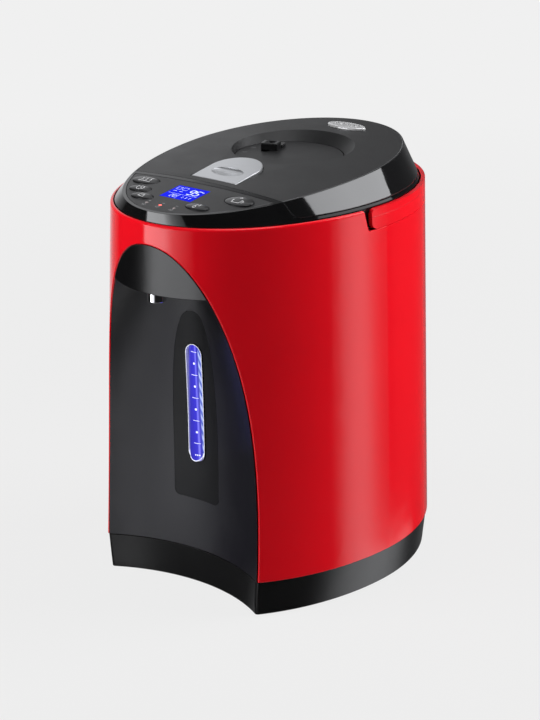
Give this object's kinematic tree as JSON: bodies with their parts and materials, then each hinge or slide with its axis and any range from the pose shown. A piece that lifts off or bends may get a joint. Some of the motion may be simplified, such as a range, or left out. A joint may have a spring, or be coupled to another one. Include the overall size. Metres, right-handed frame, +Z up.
{
  "type": "electric thermo pot",
  "caption": "Tall oval water boiler and dispenser: tapered red shell with an arched concave front, spout, level gauge, sloped control panel, hinged lid with air pump, folding handle.",
  "frame": {"origin": "on the table, under the line where the front and rear half ovals of the body meet, on the centre plane", "axes": "+Z up; -Y towards the front with the spout; +X towards the right of a user who faces the spout"},
  "size_m": [0.2246, 0.284, 0.3278],
  "materials": {
    "red_shell": "gloss",
    "red_plastic": "gloss",
    "black_gloss": "gloss",
    "black_satin": "satin",
    "black_matt": "matt",
    "plate_grey": "satin",
    "white_plastic": "gloss",
    "clear": "clear",
    "blue_light": "lit",
    "display_blue": "lit",
    "led": "lit",
    "chrome": "polished",
    "silver": "satin",
    "steel": "brushed",
    "aluminium": "cast",
    "rubber": "matt",
    "silicone": "matt",
    "green_board": "lacquered",
    "brass": "plain"
  },
  "bodies": {
    "pot_body": {"outer_shell": "red_shell", "base_housing": "black_satin", "bottom_cover": "black_matt", "rubber_foot_ring": "rubber", "front_panel": "black_satin", "gauge_plate": "plate_grey", "gauge_bezel": "white_plastic", "gauge_window": "clear", "level_tube": "clear", "gauge_backlight": "blue_light", "spout_cover": "black_gloss", "spout_nozzle": "chrome", "spout_pipe": "silicone", "pump_outlet_hose": "silicone", "collar_ring": "black_gloss", "control_panel": "black_satin", "display_window": "display_blue", "display_module": "black_matt", "control_board": "green_board", "tact_switches": "black_matt", "status_leds": "led", "inner_pot": "steel", "pot_seal": "silicone", "insulation_jacket": "silver", "heater_plate": "aluminium", "thermostat": "black_matt", "pump_head": "white_plastic", "pump_motor": "steel", "suction_hose": "silicone", "power_board": "green_board", "pot_posts": "steel", "power_inlet": "black_matt", "inlet_pins": "brass", "hinge_block": "black_satin", "hinge_pin": "steel", "handle_pins": "steel"},
    "lid": {"lid_band": "black_gloss", "lid_cover": "black_satin", "lid_inner_panel": "black_matt", "lid_inner_plate": "steel", "lid_gasket": "silicone", "steam_vent": "chrome", "steam_duct": "silicone", "pump_cylinder": "white_plastic", "pump_valve": "silicone", "lever_pin": "steel", "lever_spring": "steel", "pump_bellows": "rubber", "pump_spring": "steel"},
    "pump_plate": {"pump_plate": "black_satin"},
    "lock_knob": {"lock_knob": "black_gloss"},
    "release_lever": {"release_lever": "silver"},
    "latch_bolt": {"latch_bolt": "black_matt"},
    "carry_handle": {"carry_handle": "red_plastic"},
    "button_boil": {"button_boil": "black_gloss"},
    "button_timer": {"button_timer": "black_gloss"},
    "button_lock": {"button_lock": "black_gloss"},
    "button_temperature": {"button_temperature": "black_gloss"},
    "button_dispense": {"button_dispense": "black_gloss"}
  },
  "joints": [
    {"name": "lid_hinge", "type": "hinge", "parent": "pot_body", "child": "lid", "pos_m": [0, 0.1135, 0.3065], "axis": [-1, 0, 0], "range_deg": [0, 88]},
    {"name": "lever_hinge", "type": "hinge", "parent": "lid", "child": "release_lever", "pos_m": [0, -0.033, 0.31586], "axis": [1, 0, 0], "range_deg": [0, 6.2], "stiffness_Nm_per_rad": 0.4, "springref_deg": -2.86},
    {"name": "latch_slide", "type": "slide", "parent": "lid", "child": "latch_bolt", "axis": [0, 1, 0], "range_m": [0, 0.0048]},
    {"name": "pump_slide", "type": "slide", "parent": "lid", "child": "pump_plate", "axis": [0, 0, -1], "range_m": [0, 0.018], "stiffness_N_per_m": 400, "springref_m": -0.004, "deforming": ["pump_bellows", "pump_spring"]},
    {"name": "lock_turn", "type": "hinge", "parent": "pump_plate", "child": "lock_knob", "pos_m": [0, 0.0163, 0.318], "axis": [0, 0, 1], "range_deg": [0, 18]},
    {"name": "handle_swing", "type": "hinge", "parent": "pot_body", "child": "carry_handle", "pos_m": [0, -0.011, 0.29], "axis": [1, 0, 0], "range_deg": [0, 90]},
    {"name": "button_boil_press", "type": "slide", "parent": "pot_body", "child": "button_boil", "axis": [0, 0.1268, -0.9919], "range_m": [0, 0.0008], "stiffness_N_per_m": 600, "springref_m": -0.0005},
    {"name": "button_timer_press", "type": "slide", "parent": "pot_body", "child": "button_timer", "axis": [0, 0.1268, -0.9919], "range_m": [0, 0.0008], "stiffness_N_per_m": 600, "springref_m": -0.0005},
    {"name": "button_lock_press", "type": "slide", "parent": "pot_body", "child": "button_lock", "axis": [0, 0.1268, -0.9919], "range_m": [0, 0.0008], "stiffness_N_per_m": 600, "springref_m": -0.0005},
    {"name": "button_temperature_press", "type": "slide", "parent": "pot_body", "child": "button_temperature", "axis": [0, 0.1268, -0.9919], "range_m": [0, 0.0008], "stiffness_N_per_m": 600, "springref_m": -0.0005},
    {"name": "button_dispense_press", "type": "slide", "parent": "pot_body", "child": "button_dispense", "axis": [0, 0.1268, -0.9919], "range_m": [0, 0.0008], "stiffness_N_per_m": 600, "springref_m": -0.0005}
  ],
  "couplings": [
    {"joint": "latch_slide", "follows": "lever_hinge", "m_per_rad": 0.04}
  ]
}
